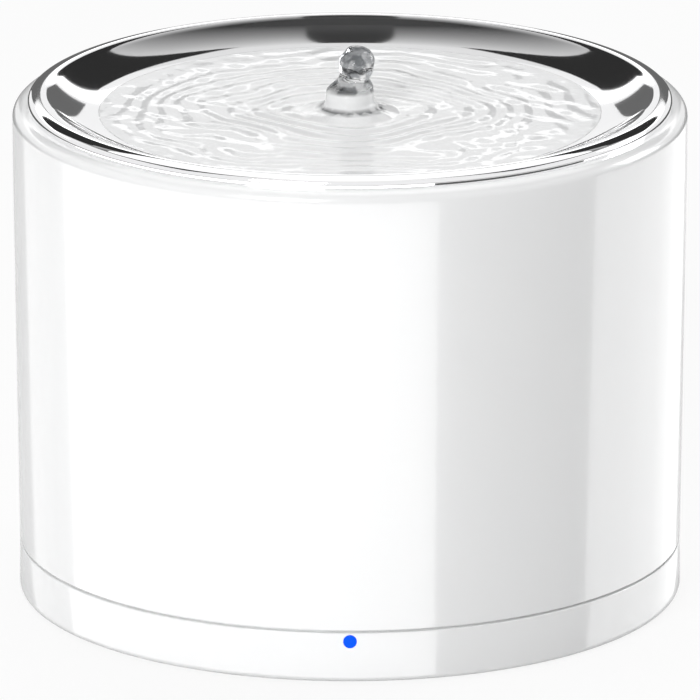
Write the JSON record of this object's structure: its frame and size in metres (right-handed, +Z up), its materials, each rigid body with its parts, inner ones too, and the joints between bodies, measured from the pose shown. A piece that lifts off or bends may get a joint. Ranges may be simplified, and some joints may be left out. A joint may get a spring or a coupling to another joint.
{
  "type": "pet water fountain",
  "caption": "Round pet water fountain: a gloss tank on a powered base with a submersible pump and a steel drinking tray with a bubbling jet.",
  "frame": {"origin": "centre of the footprint, on the surface that the fountain stands on", "axes": "+Z up along the tank's axis; the indicator light faces -Y; the power inlet faces +Y"},
  "size_m": [0.18, 0.18, 0.15],
  "materials": {
    "white_plastic": "glossy",
    "white_matte": "satin",
    "clear_grey": "glossy",
    "polished_steel": "polished",
    "rubber_grey": "matte",
    "silicone": "matte",
    "dark_plastic": "satin",
    "copper": "enamelled wire",
    "ferrite": "matte",
    "board_green": "solder mask",
    "component_black": "matte",
    "lamination": "laminated",
    "screw_steel": "plated",
    "light_blue": "clear, lit blue",
    "ceramic_white": "ground",
    "magnet": "matte",
    "foam_black": "open foam",
    "felt_white": "felt",
    "granules": "granular",
    "water": "clear"
  },
  "bodies": {
    "base": {"base_shell": "white_plastic", "base_cover": "white_matte", "cover_gasket": "silicone", "cover_screws": "screw_steel", "base_feet": "rubber_grey", "main_board": "board_green", "board_components": "component_black", "transmitter_coil": "copper", "coil_ferrite": "ferrite", "coil_holder": "dark_plastic", "led_chip": "light_blue", "light_pipe": "light_blue", "power_inlet": "dark_plastic", "inlet_pin": "screw_steel", "button_switch": "component_black"},
    "button": {"mode_button": "white_plastic"},
    "tank_body": {"tank": "white_plastic"},
    "pump": {"pump_housing": "white_matte", "pump_cap": "dark_plastic", "pump_feet": "rubber_grey", "receiver_coil": "copper", "stator_core": "lamination", "stator_windings": "copper", "impeller_shaft": "ceramic_white", "pump_cover": "white_matte", "prefilter_foam": "foam_black", "riser_tube": "clear_grey"},
    "rotor": {"impeller": "clear_grey", "impeller_magnet": "magnet"},
    "carrier": {"filter_carrier": "white_matte"},
    "filter": {"filter_frame": "white_matte", "lower_pad": "felt_white", "filter_granules": "granules", "upper_pad": "felt_white"},
    "tray": {"drinking_tray": "polished_steel", "spout_nozzle": "white_matte", "nozzle_seal": "silicone", "nozzle_nut": "white_matte", "drinking_water": "water"}
  },
  "joints": [
    {"name": "button_press", "type": "slide", "parent": "base", "child": "button", "axis": [-0.1994, -0.9799, 0], "range_m": [0, 0.0008], "stiffness_N_per_m": 600, "springref_m": -0.001},
    {"name": "tank_lift", "type": "slide", "parent": "base", "child": "tank_body", "axis": [0, 0, 1], "range_m": [0, 0.05]},
    {"name": "pump_lift", "type": "slide", "parent": "tank_body", "child": "pump", "axis": [0, 0, 1], "range_m": [0, 0.12]},
    {"name": "impeller_spin", "type": "hinge", "parent": "pump", "child": "rotor", "pos_m": [0, 0, 0.04], "axis": [0, 0, 1], "continuous": true},
    {"name": "carrier_lift", "type": "slide", "parent": "pump", "child": "carrier", "axis": [0, 0, 1], "range_m": [0, 0.04]},
    {"name": "filter_lift", "type": "slide", "parent": "carrier", "child": "filter", "axis": [0, 0, 1], "range_m": [0, 0.03]},
    {"name": "tray_lift", "type": "slide", "parent": "filter", "child": "tray", "axis": [0, 0, 1], "range_m": [0, 0.03]}
  ]
}
